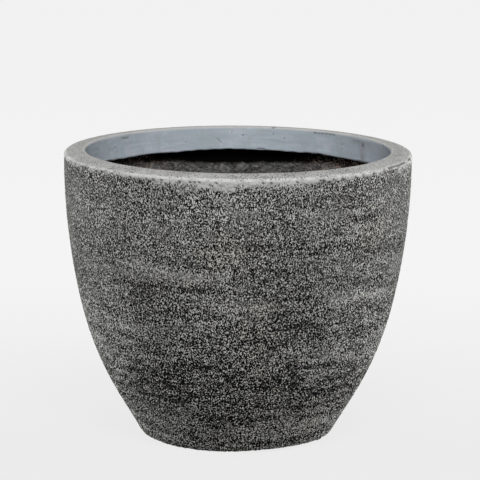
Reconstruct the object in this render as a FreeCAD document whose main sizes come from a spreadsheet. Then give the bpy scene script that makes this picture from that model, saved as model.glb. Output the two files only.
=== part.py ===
import FreeCAD, Part
import math
import os
from collections import namedtuple
from types import SimpleNamespace

import Sketcher

# A round, egg-shaped cement floor planter: a moulded shell with a fibre lining, a floor slab
# with a plugged drain, a crowned rim cap and a smooth band that hangs inside the mouth.
# The origin is on the floor under the centre of the planter, with +Z up.

# Driving sizes in millimetres: name, value, what it measures
size_table = (
    ("overall_height", 375.0, "floor to the crown of the rim"),
    ("rim_radius", 225.0, "outside of the rim, the widest place"),
    ("shoulder_drop", 10.0, "crown to where the wall stands upright"),
    ("belly_inset", 22.5, "how far inside the rim the upper and lower curves meet"),
    ("belly_height", 174.0, "height where the upper and lower curves meet"),
    ("knee_inset", 73.5, "how far inside the rim the lower curve meets the straight foot"),
    ("knee_rise", 18.0, "top of the floor slab to where the straight foot ends"),
    ("base_inset", 102.6, "how far inside the rim the foot's edge stands"),
    ("foot_rounding", 6.0, "radius of the foot's outer edge"),
    ("wall", 11.0, "thickness of the shell, square to its face"),
    ("foot_thickness", 12.0, "thickness of the shell's turned-in foot"),
    ("foot_opening", 70.0, "radius of the opening in the turned-in foot"),
    ("rim_width", 28.0, "outside of the rim to the mouth"),
    ("crown_radius", 80.0, "radius of the curve that sheds water off the rim"),
    ("rim_outer_edge", 5.0, "radius of the rim's outer edge"),
    ("rim_inner_edge", 3.0, "radius of the rim's inner edge"),
    ("cap_lip", 2.0, "face of the cap below its inner edge"),
    ("cap_skirt", 7.3, "face of the cap below its outer edge"),
    ("band_depth", 32.0, "crown to the lower edge of the mouth band"),
    ("band_edge", 3.0, "radius of the mouth band's lower edge"),
    ("lining", 2.5, "thickness of the fibre lining"),
    ("bedding_gap", 0.3, "room left between bedded pieces"),
    ("floor_thickness", 18.0, "thickness of the floor slab"),
    ("drain_radius", 13.0, "radius of the drain's bore"),
    ("sleeve_wall", 3.0, "wall of the drain sleeve"),
    ("sleeve_flange_width", 10.0, "how far the drain sleeve's flange stands out from its tube"),
    ("sleeve_flange_thickness", 3.0, "thickness of the drain sleeve's flange"),
    ("sleeve_drip", 6.0, "length of the drain sleeve below the floor slab"),
    ("plug_clearance", 0.3, "room between the plug's stem and the drain's bore"),
    ("plug_stem_length", 22.0, "length of the plug below its flange"),
    ("plug_taper", 1.2, "how much the plug's stem narrows towards its tip"),
    ("plug_overlap", 8.0, "how far the plug's flange covers the sleeve around the bore"),
    ("plug_flange_thickness", 4.0, "thickness of the plug's flange"),
    ("plug_neck_radius", 5.0, "radius of the neck under the pull knob"),
    ("plug_neck_length", 7.0, "length of the neck under the pull knob"),
    ("plug_knob_ledge", 2.0, "flat under the pull knob, around the neck"),
    ("plug_knob_edge", 3.0, "radius of the pull knob's edges"),
    ("plug_knob_side", 2.0, "straight side of the pull knob between its edges"),
    ("pad_radius", 12.0, "radius of a foot pad"),
    ("pad_height", 2.5, "how far a foot pad lifts the shell off the floor"),
    ("pad_edge", 0.8, "radius of a foot pad's lower edge"),
)
pad_count = 4
first_pad_angle = 45.0


class Size:
    # A length with its number and the formula that ties it to the sheet
    def __init__(self, formula, number):
        self.formula = formula
        self.number = number

    def __add__(self, other):
        other = as_size(other)
        return Size(f"({self.formula} + {other.formula})", self.number + other.number)

    def __sub__(self, other):
        other = as_size(other)
        return Size(f"({self.formula} - {other.formula})", self.number - other.number)

    def __mul__(self, other):
        other = as_size(other)
        return Size(f"({self.formula} * {other.formula})", self.number * other.number)

    def __truediv__(self, other):
        other = as_size(other)
        return Size(f"({self.formula} / {other.formula})", self.number / other.number)


def as_size(item):
    return item if isinstance(item, Size) else Size(str(item), item)


def root(size):
    return Size(f"sqrt({size.formula})", math.sqrt(size.number))


def magnitude(size):
    return Size(f"abs({size.formula})", abs(size.number))


def lesser(first, second):
    return Size(f"min({first.formula}; {second.formula})", min(first.number, second.number))


# A point of a half section, and the centre that the stretch to the next point bends about
Point = namedtuple("Point", "radius height bend", defaults=(None,))
Bend = namedtuple("Bend", "radius height size")

document = FreeCAD.newDocument("Planter")
sheet = document.addObject("Spreadsheet::Sheet", "Sizes")
for row, (size_name, number, meaning) in enumerate(size_table, start=1):
    sheet.set(f"A{row}", size_name)
    sheet.set(f"B{row}", str(number))
    sheet.setAlias(f"B{row}", size_name)
    sheet.set(f"C{row}", meaning)
document.recompute()
s = SimpleNamespace(**{entry[0]: Size(f"Sizes.{entry[0]}", entry[1]) for entry in size_table})
axis = Size("0", 0.0)


# Heights and radii that pieces share
mouth_radius = s.rim_radius - s.rim_width
shell_mouth = s.rim_radius - s.wall
foot_plane = s.pad_height
foot_top = foot_plane + s.foot_thickness
floor_top = foot_top + s.floor_thickness
band_top = s.overall_height - s.rim_inner_edge - s.cap_lip
band_bottom = s.overall_height - s.band_depth
bedded = s.wall + s.bedding_gap
face = as_size(0)

# The rim's crown and the rounded outer edge that it runs into
crown_start = mouth_radius + s.rim_inner_edge
crown_centre_height = s.overall_height - s.crown_radius
edge_radius = s.rim_radius - s.rim_outer_edge
edge_swing = s.crown_radius - s.rim_outer_edge
edge_across = edge_radius - crown_start
edge_up = root(edge_swing * edge_swing - edge_across * edge_across)
edge_height = crown_centre_height + edge_up
cap_seat = edge_height - s.cap_skirt

# The wall's outside face: an upright shoulder, two tangent curves and a straight foot
shoulder_height = s.overall_height - s.shoulder_drop
belly_radius = s.rim_radius - s.belly_inset
shoulder_fall = shoulder_height - s.belly_height
upper_curve = (shoulder_fall * shoulder_fall + s.belly_inset * s.belly_inset) / (s.belly_inset * 2)
upper_centre = (s.rim_radius - upper_curve, shoulder_height)
belly_lean = shoulder_fall / upper_curve
belly_upright = as_size(1) - s.belly_inset / upper_curve

knee_radius = s.rim_radius - s.knee_inset
knee_height = floor_top + s.knee_rise
knee_reach = s.knee_inset - s.belly_inset
knee_fall = s.belly_height - knee_height
knee_bulge = knee_reach * belly_upright - knee_fall * belly_lean
lower_curve = (knee_reach * knee_reach + knee_fall * knee_fall) / (knee_bulge * 2)
lower_centre = (belly_radius - lower_curve * belly_upright, s.belly_height + lower_curve * belly_lean)

base_radius = s.rim_radius - s.base_inset
foot_flare = (knee_radius - base_radius) / (knee_height - foot_plane)


def wall_top(height, depth):
    # Radius of the wall under the shoulder, at a depth below its outside face
    curve = upper_curve - depth
    drop = shoulder_height - height
    return upper_centre[0] + root(curve * curve - drop * drop)


def wall_belly(depth):
    return belly_radius - depth * belly_upright, s.belly_height + depth * belly_lean


def wall_knee(depth):
    share = as_size(1) - depth / lower_curve
    radius = lower_centre[0] + (knee_radius - lower_centre[0]) * share
    height = lower_centre[1] + (knee_height - lower_centre[1]) * share
    return radius, height


def wall_foot(height, depth):
    # Radius of the straight foot at a height, at a depth below its outside face
    radius_at_knee, height_at_knee = wall_knee(depth)
    return radius_at_knee - (height_at_knee - height) * foot_flare


def wall_face(low, high, depth, rising):
    # Points of the wall's face between two heights, upwards or downwards
    upper_bend = Bend(*upper_centre, upper_curve - depth)
    lower_bend = Bend(*lower_centre, magnitude(lower_curve - depth))
    foot = (wall_foot(low, depth), low)
    top = (wall_top(high, depth), high)
    knee = wall_knee(depth)
    belly = wall_belly(depth)
    if rising:
        return [Point(*foot), Point(*knee, lower_bend), Point(*belly, upper_bend), Point(*top)]
    return [Point(*top, upper_bend), Point(*belly, lower_bend), Point(*knee), Point(*foot)]


# Sketches and bodies
def origin_plane(body, role):
    return next(feature for feature in body.Origin.OriginFeatures if feature.Role == role)


def new_sketch(body, name, role):
    sketch = body.newObject("Sketcher::SketchObject", name)
    sketch.AttachmentSupport = [(origin_plane(body, role), "")]
    sketch.MapMode = "FlatFace"
    return sketch


def bind(sketch, constraint, size):
    index = sketch.addConstraint(constraint)
    sketch.setExpression(f"Constraints[{index}]", size.formula)


def add_stretch(sketch, start, finish, bend):
    # One line or arc; returns its number and which of its ends lie at start and finish
    if bend is None:
        return sketch.addGeometry(Part.LineSegment(start, finish)), 1, 2
    centre = FreeCAD.Vector(bend.radius.number, bend.height.number, 0)
    start_angle = math.atan2(start.y - centre.y, start.x - centre.x)
    finish_angle = math.atan2(finish.y - centre.y, finish.x - centre.x)
    circle = Part.Circle(centre, FreeCAD.Vector(0, 0, 1), bend.size.number)
    if (finish_angle - start_angle) % (2 * math.pi) < math.pi:
        return sketch.addGeometry(Part.ArcOfCircle(circle, start_angle, finish_angle)), 1, 2
    return sketch.addGeometry(Part.ArcOfCircle(circle, finish_angle, start_angle)), 2, 1


def half_section(body, outline):
    # A closed half section beside the planter's axis, each point and bend tied to the sheet
    sketch = new_sketch(body, body.Name + "_section", "XZ_Plane")
    places = [FreeCAD.Vector(point.radius.number, point.height.number, 0) for point in outline]
    stretches = []
    for index, point in enumerate(outline):
        finish = places[(index + 1) % len(places)]
        stretches.append(add_stretch(sketch, places[index], finish, point.bend))
    for index, point in enumerate(outline):
        line, start_end, finish_end = stretches[index]
        following, following_end, _ = stretches[(index + 1) % len(stretches)]
        sketch.addConstraint(Sketcher.Constraint("Coincident", line, finish_end, following, following_end))
        if point.radius is axis:
            sketch.addConstraint(Sketcher.Constraint("PointOnObject", line, start_end, -2))
        else:
            across = Sketcher.Constraint("DistanceX", -1, 1, line, start_end, point.radius.number)
            bind(sketch, across, point.radius)
        up = Sketcher.Constraint("DistanceY", -1, 1, line, start_end, point.height.number)
        bind(sketch, up, point.height)
        if point.bend is not None:
            bind(sketch, Sketcher.Constraint("Radius", line, point.bend.size.number), point.bend.size)
    return sketch


def new_body(label):
    body = document.addObject("PartDesign::Body", label)
    body.Label = label
    return body


def turned(label, outline):
    # A piece that is round about the planter's axis
    body = new_body(label)
    sketch = half_section(body, outline)
    revolution = body.newObject("PartDesign::Revolution", label + "_turned")
    revolution.Profile = sketch
    revolution.ReferenceAxis = (sketch, ["V_Axis"])
    revolution.Angle = 360.0
    document.recompute()
    return body


def round_edge(body, name, radius, height, size):
    # Rounds the circular edge of that radius at that height
    base = body.Tip
    names = []
    for index, edge in enumerate(base.Shape.Edges, start=1):
        if not isinstance(edge.Curve, Part.Circle):
            continue
        same_radius = math.isclose(edge.Curve.Radius, radius.number, abs_tol=1e-4)
        same_height = math.isclose(edge.Curve.Center.z, height.number, abs_tol=1e-4)
        if same_radius and same_height:
            names.append(f"Edge{index}")
    fillet = body.newObject("PartDesign::Fillet", name)
    fillet.Base = (base, names)
    fillet.Radius = size.number
    fillet.setExpression("Radius", size.formula)
    document.recompute()


# Outer shell: the moulded wall with its foot turned in
def outer_shell():
    outline = [Point(s.foot_opening, foot_plane)]
    outline += wall_face(foot_plane, cap_seat, face, rising=True)
    outline += wall_face(foot_top, cap_seat, s.wall, rising=False)
    outline.append(Point(s.foot_opening, foot_top))
    body = turned("outer_shell", outline)
    round_edge(body, "foot_edge", wall_foot(foot_plane, face), foot_plane, s.foot_rounding)
    return body


# Fibre lining: the mat laid up inside the shell, from the floor slab to the mouth band
def fibre_lining():
    outline = wall_face(floor_top, band_bottom, bedded, rising=True)
    outline += wall_face(floor_top, band_bottom, bedded + s.lining, rising=False)
    return turned("fibre_lining", outline)


# Floor slab: cast on the turned-in foot, with a stepped hole for the drain sleeve
def floor_slab():
    tube_hole = s.drain_radius + s.sleeve_wall + s.bedding_gap
    flange_seat = tube_hole + s.sleeve_flange_width
    seat_height = floor_top - s.sleeve_flange_thickness
    outline = [
        Point(tube_hole, foot_top),
        Point(wall_foot(foot_top, bedded), foot_top),
        Point(wall_foot(floor_top, bedded), floor_top),
        Point(flange_seat, floor_top),
        Point(flange_seat, seat_height),
        Point(tube_hole, seat_height),
    ]
    return turned("floor_slab", outline)


# Rim cap: the trowelled crown that bridges the shell and the mouth band
def rim_cap():
    crown_share = s.crown_radius / edge_swing
    crown_end = (crown_start + edge_across * crown_share, crown_centre_height + edge_up * crown_share)
    inner_edge_height = s.overall_height - s.rim_inner_edge
    outer_bend = Bend(edge_radius, edge_height, s.rim_outer_edge)
    crown_bend = Bend(crown_start, crown_centre_height, s.crown_radius)
    inner_bend = Bend(crown_start, inner_edge_height, s.rim_inner_edge)
    outline = [
        Point(mouth_radius, band_top),
        Point(shell_mouth, band_top),
        Point(shell_mouth, cap_seat),
        Point(s.rim_radius, cap_seat),
        Point(s.rim_radius, edge_height, outer_bend),
        Point(*crown_end, crown_bend),
        Point(crown_start, s.overall_height, inner_bend),
        Point(mouth_radius, inner_edge_height),
    ]
    return turned("rim_cap", outline)


# Mouth band: the smooth ring that overhangs the lining inside the mouth
def mouth_band():
    outer_radius = wall_top(band_bottom, bedded)
    lower_edge = lesser(s.band_edge, (outer_radius - mouth_radius) / 2)
    outline = [
        Point(mouth_radius, band_bottom),
        Point(outer_radius, band_bottom),
        Point(outer_radius, band_top),
        Point(mouth_radius, band_top),
    ]
    body = turned("mouth_band", outline)
    round_edge(body, "lower_edge", mouth_radius, band_bottom, lower_edge)
    return body


# Drain sleeve: a flanged tube let into the floor slab, flush with its top
def drain_sleeve():
    tube_radius = s.drain_radius + s.sleeve_wall
    flange_radius = tube_radius + s.sleeve_flange_width
    flange_bottom = floor_top - s.sleeve_flange_thickness
    tip_height = foot_top - s.sleeve_drip
    outline = [
        Point(s.drain_radius, tip_height),
        Point(tube_radius, tip_height),
        Point(tube_radius, flange_bottom),
        Point(flange_radius, flange_bottom),
        Point(flange_radius, floor_top),
        Point(s.drain_radius, floor_top),
    ]
    return turned("drain_sleeve", outline)


# Drain plug: a tapered stem, a flange that seats on the sleeve, and a domed pull knob
def drain_plug():
    stem_radius = s.drain_radius - s.plug_clearance
    tip_height = floor_top - s.plug_stem_length
    flange_radius = s.drain_radius + s.plug_overlap
    flange_top = floor_top + s.plug_flange_thickness
    knob_face = s.plug_neck_radius + s.plug_knob_ledge
    knob_radius = knob_face + s.plug_knob_edge
    knob_bottom = flange_top + s.plug_neck_length
    lower_edge = Bend(knob_face, knob_bottom + s.plug_knob_edge, s.plug_knob_edge)
    upper_edge = Bend(knob_face, lower_edge.height + s.plug_knob_side, s.plug_knob_edge)
    knob_top = upper_edge.height + s.plug_knob_edge
    outline = [
        Point(axis, tip_height),
        Point(stem_radius - s.plug_taper, tip_height),
        Point(stem_radius, floor_top),
        Point(flange_radius, floor_top),
        Point(flange_radius, flange_top),
        Point(s.plug_neck_radius, flange_top),
        Point(s.plug_neck_radius, knob_bottom),
        Point(knob_face, knob_bottom, lower_edge),
        Point(knob_radius, lower_edge.height),
        Point(knob_radius, upper_edge.height, upper_edge),
        Point(knob_face, knob_top),
        Point(axis, knob_top),
    ]
    return turned("drain_plug", outline)


# Foot pads: rubber discs that lift the foot off the floor so that the drain can run
def foot_pad(number):
    label = f"foot_pad_{number}"
    angle = first_pad_angle + (number - 1) * 360.0 / pad_count
    ring_radius = (s.foot_opening + base_radius) / 2
    body = new_body(label)
    sketch = new_sketch(body, label + "_outline", "XY_Plane")
    circle = Part.Circle(FreeCAD.Vector(0, 0, 0), FreeCAD.Vector(0, 0, 1), s.pad_radius.number)
    disc = sketch.addGeometry(circle)
    sketch.addConstraint(Sketcher.Constraint("Coincident", disc, 3, -1, 1))
    bind(sketch, Sketcher.Constraint("Radius", disc, s.pad_radius.number), s.pad_radius)
    pad = body.newObject("PartDesign::Pad", label + "_disc")
    pad.Profile = sketch
    pad.Length = s.pad_height.number
    pad.setExpression("Length", s.pad_height.formula)
    document.recompute()
    round_edge(body, label + "_edge", s.pad_radius, axis, s.pad_edge)
    body.setExpression("Placement.Base.x", f"{ring_radius.formula} * cos({angle})")
    body.setExpression("Placement.Base.y", f"{ring_radius.formula} * sin({angle})")
    return body


pieces = [outer_shell(), fibre_lining(), floor_slab(), rim_cap(), mouth_band(), drain_sleeve(), drain_plug()]
pieces += [foot_pad(number) for number in range(1, pad_count + 1)]
document.recompute()

# Every object has to be whole before anything is written
for item in document.Objects:
    if "Invalid" in item.State or "Error" in item.State:
        raise RuntimeError(f"{item.Label} failed: {item.State}")
for piece in pieces:
    if piece.Shape.isNull() or not piece.Shape.isValid() or len(piece.Shape.Solids) != 1:
        raise RuntimeError(f"{piece.Label} is not one valid solid")

os.makedirs("parts", exist_ok=True)
for piece in pieces:
    piece.Shape.exportStep(f"parts/{piece.Label}.step")
    print(f"{piece.Label}: {piece.Shape.Volume / 1000:.1f} cm3")
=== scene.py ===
import math

import bpy
import numpy as np
from mathutils import Matrix, Vector


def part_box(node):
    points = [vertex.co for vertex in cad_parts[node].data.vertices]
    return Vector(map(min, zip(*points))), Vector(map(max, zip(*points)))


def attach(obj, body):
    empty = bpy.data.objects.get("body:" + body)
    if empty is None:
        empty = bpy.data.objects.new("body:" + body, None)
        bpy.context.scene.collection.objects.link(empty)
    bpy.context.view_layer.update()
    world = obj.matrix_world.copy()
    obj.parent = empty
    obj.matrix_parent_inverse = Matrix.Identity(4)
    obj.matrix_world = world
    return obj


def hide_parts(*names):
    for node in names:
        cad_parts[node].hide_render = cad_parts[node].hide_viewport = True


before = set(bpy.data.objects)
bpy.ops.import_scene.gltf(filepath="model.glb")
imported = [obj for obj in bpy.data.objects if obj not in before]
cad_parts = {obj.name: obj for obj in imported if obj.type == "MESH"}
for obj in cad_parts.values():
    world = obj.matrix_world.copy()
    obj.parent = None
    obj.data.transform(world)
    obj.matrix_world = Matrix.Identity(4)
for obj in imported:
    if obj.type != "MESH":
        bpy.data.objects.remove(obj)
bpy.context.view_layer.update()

scene = bpy.context.scene
scene.view_settings.view_transform = "Standard"
print("frame loaded")


# node trees, for the materials and for the relief
def addNode(tree, kind, sockets=None, **settings):
    node = tree.nodes.new(kind)
    for key, value in settings.items():
        setattr(node, key, value)
    for key, value in (sockets or {}).items():
        if isinstance(value, bpy.types.NodeSocket):
            tree.links.new(value, node.inputs[key])
        else:
            node.inputs[key].default_value = value
    return node


def calc(tree, operation, first, second=0.0):
    return addNode(tree, "ShaderNodeMath", {0: first, 1: second}, operation=operation).outputs[0]


def product(tree, first, *others):  # all the values multiplied
    for other in others:
        first = calc(tree, "MULTIPLY", first, other)
    return first


def total(tree, *parts):  # each part is a value and its weight
    result = 0.0
    for value, weight in parts:
        node = addNode(tree, "ShaderNodeMath", {0: value, 1: weight, 2: result}, operation="MULTIPLY_ADD")
        result = node.outputs[0]
    return result


def fade(tree, value, low, high, start=0.0, end=1.0):  # smooth step from start to end
    sockets = {0: value, 1: low, 2: high, 3: start, 4: end}
    return addNode(tree, "ShaderNodeMapRange", sockets, interpolation_type="SMOOTHSTEP").outputs[0]


def vectorCalc(tree, operation, sockets):
    return addNode(tree, "ShaderNodeVectorMath", sockets, operation=operation).outputs[0]


def noise(tree, place, scale, detail=1.0, roughness=0.5, distortion=0.0, stretch=None, shift=None):
    if stretch:
        place = vectorCalc(tree, "MULTIPLY", {0: place, 1: stretch})
    if shift:
        place = vectorCalc(tree, "ADD", {0: place, 1: shift})
    sockets = {"Vector": place, "Scale": scale, "Detail": detail,
               "Roughness": roughness, "Distortion": distortion}
    return addNode(tree, "ShaderNodeTexNoise", sockets).outputs[0]


def axes(tree, place):  # how far right, how far back and how high a place is
    return list(addNode(tree, "ShaderNodeSeparateXYZ", {0: place}).outputs)


def distanceOut(tree, place):  # from the planter's axis
    across, back, _ = axes(tree, place)
    return calc(tree, "SQRT", total(tree, (across, across), (back, back)))


def tint(tree, factor, first, second):
    node = addNode(tree, "ShaderNodeMix", {0: factor, 6: first, 7: second}, data_type="RGBA")
    return node.outputs[2]


def grey(level, warmth=0.0):  # a near-grey colour, warmer above 0 and bluer below
    return (level, level, level * (1 - warmth), 1.0)


def newMaterial(name, specular=0.25):
    material = bpy.data.materials.new(name)
    material.use_nodes = True
    tree = material.node_tree
    shader = tree.nodes["Principled BSDF"]
    shader.inputs["Specular IOR Level"].default_value = specular
    return material, tree, shader


def attribute(tree, name, output="Fac"):
    return addNode(tree, "ShaderNodeAttribute", attribute_name=name).outputs[output]


def bump(tree, shader, height, strength, distance):
    sockets = {"Height": height, "Strength": strength, "Distance": distance}
    node = addNode(tree, "ShaderNodeBump", sockets)
    tree.links.new(node.outputs[0], shader.inputs["Normal"])


# outlines: points of radius and height, run so that the piece is on the left
def run(start, end, step):
    count = max(1, round(math.dist(start, end) / step))
    return [tuple(np.add(start, np.subtract(end, start) * i / count)) for i in range(count)]


def bend(centre, size, start, end, step):  # an arc between two angles, its last point left out
    count = max(2, round(abs(end - start) * size / step))
    angles = [start + (end - start) * i / count for i in range(count)]
    return [(centre[0] + size * math.cos(a), centre[1] + size * math.sin(a)) for a in angles]


def roundedRun(corners, step, radius, close=True):  # straight runs with each corner rounded
    points = []
    count = len(corners)
    for i, corner in enumerate(corners):
        before, after = np.array(corners[i - 1]), np.array(corners[(i + 1) % count])
        corner = np.array(corner)
        if not close and i in (0, count - 1):
            points.append(tuple(corner))
            continue
        reach = min(radius, math.dist(before, corner) / 2.2, math.dist(after, corner) / 2.2)
        enter = corner + (before - corner) / math.dist(before, corner) * reach
        leave = corner + (after - corner) / math.dist(after, corner) * reach
        for t in (0.0, 0.33, 0.67, 1.0):
            points.append(tuple(enter * (1 - t) ** 2 + corner * 2 * t * (1 - t) + leave * t ** 2))
    filled = []
    for i, point in enumerate(points):
        last = i == len(points) - 1
        if last and not close:
            filled.append(point)
        else:
            filled += run(point, points[(i + 1) % len(points)], step)
    return filled


# sizes in metres, as in the CAD part
planterShape = {
    "shoulderHeight": 0.365,
    "bellyRadius": 0.2025,
    "bellyHeight": 0.174,
    "kneeRadius": 0.1515,
    "kneeHeight": 0.0505,
    "baseRadius": 0.1224,
    "footRounding": 0.006,
    "wall": 0.011,
    "footOpening": 0.070,
    "mouthRadius": 0.197,
    "crownRadius": 0.080,
    "outerEdge": 0.005,
    "innerEdge": 0.003,
    "bandEdge": 0.002,
    "bedding": 0.0003,      # gap between pieces cast against each other
    "lining": 0.0025,
    "sleeveTube": 0.016,
    "sleeveFlange": 0.003,
}
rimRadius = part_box("rim_cap")[1][0]
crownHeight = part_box("rim_cap")[1][2]
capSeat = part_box("rim_cap")[0][2]
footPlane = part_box("outer_shell")[0][2]
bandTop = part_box("mouth_band")[1][2]
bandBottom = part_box("mouth_band")[0][2]
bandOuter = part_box("mouth_band")[1][0]
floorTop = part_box("floor_slab")[1][2]
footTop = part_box("floor_slab")[0][2]


def wallFace(depth, low, high, step):  # points up the wall's face, at a depth under its outside
    shape = planterShape
    inset = rimRadius - shape["bellyRadius"]
    fall = shape["shoulderHeight"] - shape["bellyHeight"]
    upperCurve = (fall * fall + inset * inset) / (2 * inset)
    upperCentre = (rimRadius - upperCurve, shape["shoulderHeight"])
    lean, upright = fall / upperCurve, 1 - inset / upperCurve
    reach = shape["bellyRadius"] - shape["kneeRadius"]
    drop = shape["bellyHeight"] - shape["kneeHeight"]
    lowerCurve = (reach * reach + drop * drop) / (2 * (reach * upright - drop * lean))
    lowerCentre = (shape["bellyRadius"] - lowerCurve * upright, shape["bellyHeight"] + lowerCurve * lean)
    kneeAngle = math.atan2(shape["kneeHeight"] - lowerCentre[1], shape["kneeRadius"] - lowerCentre[0])
    bellyAngle = math.atan2(-lean, upright)
    topAngle = math.asin((high - upperCentre[1]) / (upperCurve - depth))
    knee = bend(lowerCentre, lowerCurve - depth, kneeAngle, bellyAngle, step)
    flare = (shape["kneeRadius"] - shape["baseRadius"]) / (shape["kneeHeight"] - footPlane)
    foot = (knee[0][0] - (knee[0][1] - low) * flare, low)
    points = run(foot, knee[0], step) + knee
    points += bend(upperCentre, upperCurve - depth, bellyAngle, topAngle, step)
    points.append((upperCentre[0] + (upperCurve - depth) * math.cos(topAngle), high))
    return points


# a piece turned about the planter's axis, with marks cut into it and its own bake map
def turnedPiece(name, loop, columns, strips, roughDepth=None, reshape=None, marks=()):
    loop = np.array(loop)
    rows = len(loop)
    angles = np.arange(columns) * 2 * math.pi / columns
    depth = np.zeros(rows) if roughDepth is None else np.array([roughDepth(*point) for point in loop])
    after, before = np.roll(loop, -1, 0), np.roll(loop, 1, 0)
    # at a corner, outward is taken from the rough side
    after = np.where((np.roll(depth, -1) < depth)[:, None], loop, after)
    before = np.where((np.roll(depth, 1) < depth)[:, None], loop, before)
    ahead = after - before
    outward = np.stack([ahead[:, 1], -ahead[:, 0]], 1)
    outward /= np.linalg.norm(outward, axis=1)[:, None]
    radius = np.repeat(loop[:, :1], columns, 1)
    height = np.repeat(loop[:, 1:], columns, 1)
    if reshape:
        radius, height = reshape(radius, height, np.tile(angles, (rows, 1)))
    cosine, sine = np.cos(angles), np.sin(angles)
    points = np.stack([radius * cosine, radius * sine, height], 2).reshape(-1, 3)
    outwardPoints = np.stack([outward[:, :1] * cosine, outward[:, :1] * sine,
                              np.repeat(outward[:, 1:], columns, 1)], 2).reshape(-1, 3)
    dark, pale, shade = np.zeros((3, len(points)))
    rest = points.copy()
    for mark in marks:
        share = markShare(rest, mark)
        points -= outwardPoints * (share * mark["depth"])[:, None]
        dark = np.maximum(dark, share * mark.get("dark", 0.0))
        pale = np.maximum(pale, share * mark.get("pale", 0.0))
        shade += share * mark.get("shade", 0.0)

    row, column = np.divmod(np.arange(rows * columns), columns)
    nextRow, nextColumn = (row + 1) % rows, (column + 1) % columns
    faces = np.stack([row * columns + column, row * columns + nextColumn,
                      nextRow * columns + nextColumn, nextRow * columns + column], 1)
    mesh = bpy.data.meshes.new(name)
    mesh.from_pydata(points, [], faces)
    mesh.polygons.foreach_set("use_smooth", np.ones(len(faces), dtype=bool))
    mesh.set_sharp_from_angle(angle=math.radians(50))

    addBakeMap(mesh, loop, columns, strips)
    layer = mesh.attributes.new("outward", "FLOAT_VECTOR", "POINT")
    layer.data.foreach_set("vector", outwardPoints.astype(np.float32).ravel())
    layers = {"roughDepth": np.repeat(depth, columns), "dark": dark, "pale": pale, "shade": shade}
    for key, values in layers.items():
        layer = mesh.attributes.new(key, "FLOAT", "POINT")
        layer.data.foreach_set("value", values.astype(np.float32))
    piece = bpy.data.objects.new(name, mesh)
    scene.collection.objects.link(piece)
    return piece


def addBakeMap(mesh, loop, columns, strips):  # the ring unrolled into strips, one above the other
    sideMargin, endMargin = 0.01, 0.02
    row, column = np.divmod(np.arange(len(loop) * columns), columns)
    along = np.concatenate([[0.0], np.cumsum(np.linalg.norm(np.roll(loop, -1, 0) - loop, axis=1))])
    along /= along[-1]
    perStrip = math.ceil(columns / strips)
    strip, inStrip = np.divmod(column, perStrip)
    corners = []
    for rowStep, columnStep in ((0, 0), (0, 1), (1, 1), (1, 0)):
        across = sideMargin + (1 - 2 * sideMargin) * (inStrip + columnStep) / perStrip
        up = (strip + endMargin + (1 - 2 * endMargin) * along[row + rowStep]) / strips
        corners.append(np.stack([across, up], 1))
    layer = mesh.uv_layers.new(name="OFBake")
    layer.data.foreach_set("uv", np.stack(corners, 1).ravel())


def newMark(path, width, depth=0.0, **shares):  # shares: how dark, pale or shaded the mark is
    return {"path": path, "width": width, "depth": depth, **shares}


def markShare(points, mark):  # how much of a mark reaches each point, 1 on its line
    path = np.array(mark["path"])
    if len(path) == 1:
        path = np.concatenate([path, path])
    nearest = np.full(len(points), 1e9)
    for start, end in zip(path[:-1], path[1:]):
        span = end - start
        length = max(span @ span, 1e-12)
        t = np.clip((points - start) @ span / length, 0, 1)
        nearest = np.minimum(nearest, np.linalg.norm(points - start - t[:, None] * span, axis=1))
    near = np.clip(1 - nearest / mark["width"], 0, 1)
    return near * near * (3 - 2 * near)


def around(angle, radius, height):  # a point on the planter, the angle from +X in degrees
    turn = math.radians(angle)
    return (radius * math.cos(turn), radius * math.sin(turn), height)


def stored(tree, name, kind):  # what turnedPiece kept at each point, in the relief's tree
    return addNode(tree, "GeometryNodeInputNamedAttribute", {"Name": name}, data_type=kind).outputs[0]


def settle(piece, heightOf):  # sinks the surface by its relief and keeps where each point was
    tree = bpy.data.node_groups.new(piece.name + "Relief", "GeometryNodeTree")
    tree.interface.new_socket("Geometry", in_out="INPUT", socket_type="NodeSocketGeometry")
    tree.interface.new_socket("Geometry", in_out="OUTPUT", socket_type="NodeSocketGeometry")
    start = tree.nodes.new("NodeGroupInput")
    end = tree.nodes.new("NodeGroupOutput")
    place = addNode(tree, "GeometryNodeInputPosition").outputs[0]
    keep = addNode(tree, "GeometryNodeStoreNamedAttribute",
                   {"Geometry": start.outputs[0], "Name": "restPlace", "Value": place},
                   data_type="FLOAT_VECTOR", domain="POINT")
    below = calc(tree, "SUBTRACT", heightOf(tree, place), 1.0)
    sink = product(tree, below, stored(tree, "roughDepth", "FLOAT"))
    outward = stored(tree, "outward", "FLOAT_VECTOR")
    offset = vectorCalc(tree, "SCALE", {0: outward, "Scale": sink})
    move = addNode(tree, "GeometryNodeSetPosition", {"Geometry": keep.outputs[0], "Offset": offset})
    tree.links.new(move.outputs[0], end.inputs[0])
    piece.modifiers.new("Relief", "NODES").node_group = tree
    depsgraph = bpy.context.evaluated_depsgraph_get()
    mesh = bpy.data.meshes.new_from_object(
        piece.evaluated_get(depsgraph), preserve_all_data_layers=True, depsgraph=depsgraph)
    piece.modifiers.clear()
    piece.data = mesh


def dress(piece, material, body, node):  # coats it and stands it in for its CAD node
    piece.data.materials.clear()
    piece.data.materials.append(material)
    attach(piece, body)
    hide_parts(node)


# camera, floor and light
photoCamera = {
    "distance": 4.7312,
    "elevation": 11.08,
    "aimHeight": 0.1825,
    "aimRight": 0.0034,   # the picture's middle, measured from the aim
    "aimUp": 0.0716,
    "roll": 0.418,
    "lens": 272.5,
    "sensor": 36.0,
    "clipEnd": 100.0,
}


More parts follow.
